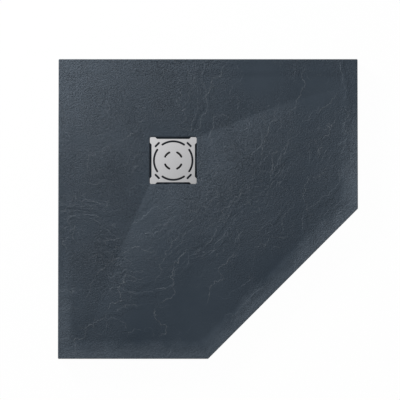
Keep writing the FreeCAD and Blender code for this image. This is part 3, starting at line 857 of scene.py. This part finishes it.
def satinSteel(name, look):
    steel = Finish(name)
    brushed = steel.noise(brushing["scale"], 3, stretch=look["stretch"], roughness=0.6)
    cloud = steel.noise(brushing["cloudScale"], 2)
    # painted sheen and painted shade across the piece, with the brush marks on top
    tone = steel.combined("ADD", steel.swung(brushed, brushing["toneReach"], *midRange), paintedSheen(steel))
    shadeAndBrushTone = tuple(channel * brushing["shadeAndBrushTone"] for channel in look["colour"])
    rough = steel.combined("ADD", steel.swung(brushed, brushing["roughReach"]), look["roughness"])
    rough = steel.combined("ADD", rough, steel.swung(cloud, brushing["cloudReach"]))
    steel.surface(steel.blended(tone, shadeAndBrushTone, look["colour"]), rough, metallic=1.0)
    steel.bump(brushed, brushing["bump"], brushing["bumpStrength"])
    return steel.material


moulding = {                    # what the plastic pieces have in common
    "flowScale": 30,
    "flowStretch": (1, 1, 0.35),
    "flowRange": (0.3, 0.7),
    "shade": 0.86,              # the darker tone, as a share of the colour
    "roughReach": (-0.05, 0.06),
    "bumpStrength": 0.6,
}


def mouldedPlastic(name, look):
    plastic = Finish(name)
    flow = plastic.noise(moulding["flowScale"], 3, stretch=moulding["flowStretch"])
    grain = plastic.noise(look["grainScale"], 3)
    shade = tuple(channel * moulding["shade"] for channel in look["colour"])
    tint = plastic.blended(plastic.ranged(flow, 0, 1, *moulding["flowRange"]), shade, look["colour"])
    rough = plastic.combined("ADD", plastic.ranged(flow, *moulding["roughReach"]), look["roughness"])
    plastic.surface(tint, rough, look["shine"])
    plastic.bump(grain, look["grainDepth"], moulding["bumpStrength"])
    return plastic.material


def mouldedRubber(look):
    moulded = Finish("mouldedRubber")
    grain = moulded.noise(look["grainScale"], 2)
    paling = moulded.ranged(moulded.noise(look["bloomScale"], 4), *look["bloomShare"], *look["bloomRange"])
    tint = moulded.blended(paling, look["black"], look["bloomed"])
    moulded.surface(tint, moulded.ranged(grain, *look["roughness"]), look["shine"])
    moulded.bump(grain, look["grainDepth"], look["bumpStrength"])
    return moulded.material


def turnedBrass(look):
    turned = Finish("turnedBrass")
    rings = turned.noise(look["ringScale"], 2, stretch=look["stretch"])
    tarnish = turned.ranged(turned.noise(look["tarnishScale"], 3), 0, 1, *look["tarnishRange"])
    tint = turned.blended(tarnish, look["tarnished"], look["bright"])
    turned.surface(tint, turned.ranged(rings, *look["roughness"]), metallic=1.0)
    turned.bump(rings, look["ringDepth"], look["bumpStrength"])
    return turned.material


softening = {"weldDistance": 0.000005, "segments": 2}       # for every piece that has a softEdge


def dress(node, material, softEdge=0):
    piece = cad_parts[node]
    piece.data.materials.clear()
    piece.data.materials.append(material)
    if softEdge:
        weld = piece.modifiers.new("weld", "WELD")
        weld.merge_threshold = softening["weldDistance"]
        bevel = piece.modifiers.new("softEdges", "BEVEL")
        bevel.width = softEdge
        bevel.segments = softening["segments"]
        bevel.limit_method = "ANGLE"
        bevel.angle_limit = sharpAngle
        bevel.harden_normals = True


stage = {
    "half": 4.0,
    "drop": 0.0002,             # how far the floor lies below the tray
    "overlap": 0.001,           # how far it reaches in under the tray, and leaves the rest open for the trap
    "holeSpacing": 0.05,
    "matt": (0.9, 0.9, 0.9, 1),
    "whiteShare": 0.98,         # how white the floor is where something looks at it
    "airColour": (1, 1, 1, 1),
    "roomLight": 0.40,          # what the air gives the scene as light
    "backdrop": 1.0,            # how bright it is where something looks at it
}


def buildStage():
    half = stage["half"]
    square = np.array([(-half, -half), (half, -half), (half, half), (-half, half)])
    hole = roundedLoop(trayCorners, tray["cornerRadius"], stage["overlap"], stage["holeSpacing"])
    shell = Shell()
    shell.sheet(shell.loop(square, -stage["drop"]), shell.loop(hole, -stage["drop"]), [])
    mesh = bpy.data.meshes.new("paleFloor")
    mesh.from_pydata(shell.points, [], shell.faces)
    floor = bpy.data.objects.new("paleFloor", mesh)
    bpy.context.scene.collection.objects.link(floor)
    material = bpy.data.materials.new("paleFloor")
    paint = Recipe(material)
    output = paint.nodes.new("ShaderNodeOutputMaterial")
    matt = paint.nodes.new("ShaderNodeBsdfDiffuse")
    matt.inputs["Color"].default_value = stage["matt"]
    glow = paint.nodes.new("ShaderNodeEmission")
    glow.inputs["Strength"].default_value = 1.0
    paint.mixed(paint.combined("MULTIPLY", paint.looking(), stage["whiteShare"]), matt, glow, output)
    mesh.materials.append(material)


def buildWorld():
    world = bpy.data.worlds.new("softRoom")
    bpy.context.scene.world = world
    air = Recipe(world)
    output = air.nodes.new("ShaderNodeOutputWorld")
    skies = []
    for strength in (stage["roomLight"], stage["backdrop"]):
        sky = air.nodes.new("ShaderNodeBackground")
        sky.inputs["Color"].default_value = stage["airColour"]
        sky.inputs["Strength"].default_value = strength
        skies.append(sky)
    air.mixed(air.looking(), *skies, output)


def pointAt(thing, target):
    thing.rotation_euler = (Vector(target) - thing.location).to_track_quat("-Z", "Y").to_euler()


keyLight = {"place": (-2.40, 2.40, 1.00), "target": (0, 0, 0), "size": 0.7, "power": 190}


def buildKeyLight():
    lamp = bpy.data.lights.new("keyLight", "AREA")
    lamp.shape = "SQUARE"
    lamp.size = keyLight["size"]
    lamp.energy = keyLight["power"]
    key = bpy.data.objects.new("keyLight", lamp)
    bpy.context.scene.collection.objects.link(key)
    key.location = keyLight["place"]
    pointAt(key, keyLight["target"])


photoCamera = {
    "aim": (-0.0243, 0.0260, 0.025),
    "distance": 3.0,
    "elevation": 89.05,         # in degrees, almost straight down
    "lens": 89.8,
    "sensor": 36,
    "farthest": 50,
}


def buildCamera():
    body = bpy.data.cameras.new("photoCamera")
    body.lens = photoCamera["lens"]
    body.sensor_width = photoCamera["sensor"]
    body.clip_end = photoCamera["farthest"]
    camera = bpy.data.objects.new("photoCamera", body)
    bpy.context.scene.collection.objects.link(camera)
    elevation = math.radians(photoCamera["elevation"])
    back = Vector((0, -math.cos(elevation), math.sin(elevation)))
    camera.location = Vector(photoCamera["aim"]) + back * photoCamera["distance"]
    pointAt(camera, photoCamera["aim"])
    bpy.context.scene.camera = camera


buildWorld()
buildKeyLight()
buildCamera()
buildStage()
bpy.context.scene.view_settings.view_transform = "Standard"
print("stage, light and camera are set")

slab = buildTray()
slab.data.materials.append(slateGelCoat())
slab.data.materials.append(castUnderside())
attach(slab, "tray")
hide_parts("tray_body")
print("slate tray:", len(slab.data.vertices), "points")

cover = {"colour": (0.57, 0.57, 0.58), "roughness": 0.34, "stretch": (1, 14, 1), "softEdge": 0.0002}
dress("waste_cover", satinSteel("satinCoverSteel", cover), cover["softEdge"])

# painted shade: the flange's steel is nearly black, far darker than stainless, standing for the shade under
# the cover so that the slots look dark
flange = {"colour": (0.09, 0.09, 0.095), "roughness": 0.46, "stretch": (14, 1, 1), "softEdge": 0.0003}
dress("waste_flange", satinSteel("pressedFlangeSteelInPaintedShade", flange), flange["softEdge"])

screws = {"colour": (0.46, 0.46, 0.47), "roughness": 0.36, "stretch": (1, 1, 6)}
dress("flange_screws", satinSteel("turnedScrewSteel", screws))

inserts = {
    "tarnished": (0.62, 0.42, 0.16), "bright": (0.78, 0.57, 0.27),
    "tarnishScale": 120, "tarnishRange": (0.35, 0.7), "roughness": (0.25, 0.42),
    "ringScale": 500, "stretch": (0.2, 0.2, 4), "ringDepth": 0.0001, "bumpStrength": 0.6,
}
dress("screw_inserts", turnedBrass(inserts))

seals = {
    "black": (0.014, 0.014, 0.015), "bloomed": (0.038, 0.037, 0.036),
    "bloomScale": 90, "bloomShare": (0.0, 0.8), "bloomRange": (0.4, 0.75), "roughness": (0.6, 0.85),
    "shine": 0.3, "grainScale": 1100, "grainDepth": 0.0001, "bumpStrength": 0.5,
}
rubber = mouldedRubber(seals)
for node in ("cover_pads", "upper_gasket", "lower_gasket", "dip_tube_ring", "ball_seal", "pipe_seal"):
    dress(node, rubber)
print("cover, ring, screws and seals are dressed")

trap = {
    "colour": (0.72, 0.73, 0.72), "roughness": 0.45, "shine": 0.4,
    "grainScale": 700, "grainDepth": 0.00012, "softEdge": 0.0004,
}
trapPlastic = mouldedPlastic("whiteTrapPlastic", trap)
for node in ("trap_body", "outlet_tail"):
    dress(node, trapPlastic, trap["softEdge"])

nuts = {
    "colour": (0.42, 0.43, 0.44), "roughness": 0.40, "shine": 0.4,
    "grainScale": 900, "grainDepth": 0.00012, "softEdge": 0.0003,
}
nutPlastic = mouldedPlastic("greyNutPlastic", nuts)
for node in ("ball_nut", "pipe_nut"):
    dress(node, nutPlastic, nuts["softEdge"])

dipTube = {
    "colour": (0.055, 0.058, 0.062), "roughness": 0.40, "shine": 0.4,
    "grainScale": 800, "grainDepth": 0.00012, "softEdge": 0.0003,
}
dress("dip_tube", mouldedPlastic("darkTubePlastic", dipTube), dipTube["softEdge"])

strainer = {
    "colour": (0.030, 0.032, 0.035), "roughness": 0.42, "shine": 0.4,
    "grainScale": 900, "grainDepth": 0.00012, "softEdge": 0.0002,
}
dress("hair_strainer", mouldedPlastic("strainerPlastic", strainer), strainer["softEdge"])

washer = {
    "colour": (0.8, 0.8, 0.78), "roughness": 0.22, "shine": 0.5,
    "grainScale": 1200, "grainDepth": 0.00004,
}
dress("slip_washer", mouldedPlastic("slipWasherPlastic", washer))
print("trap, tube, strainer and outlet are dressed")
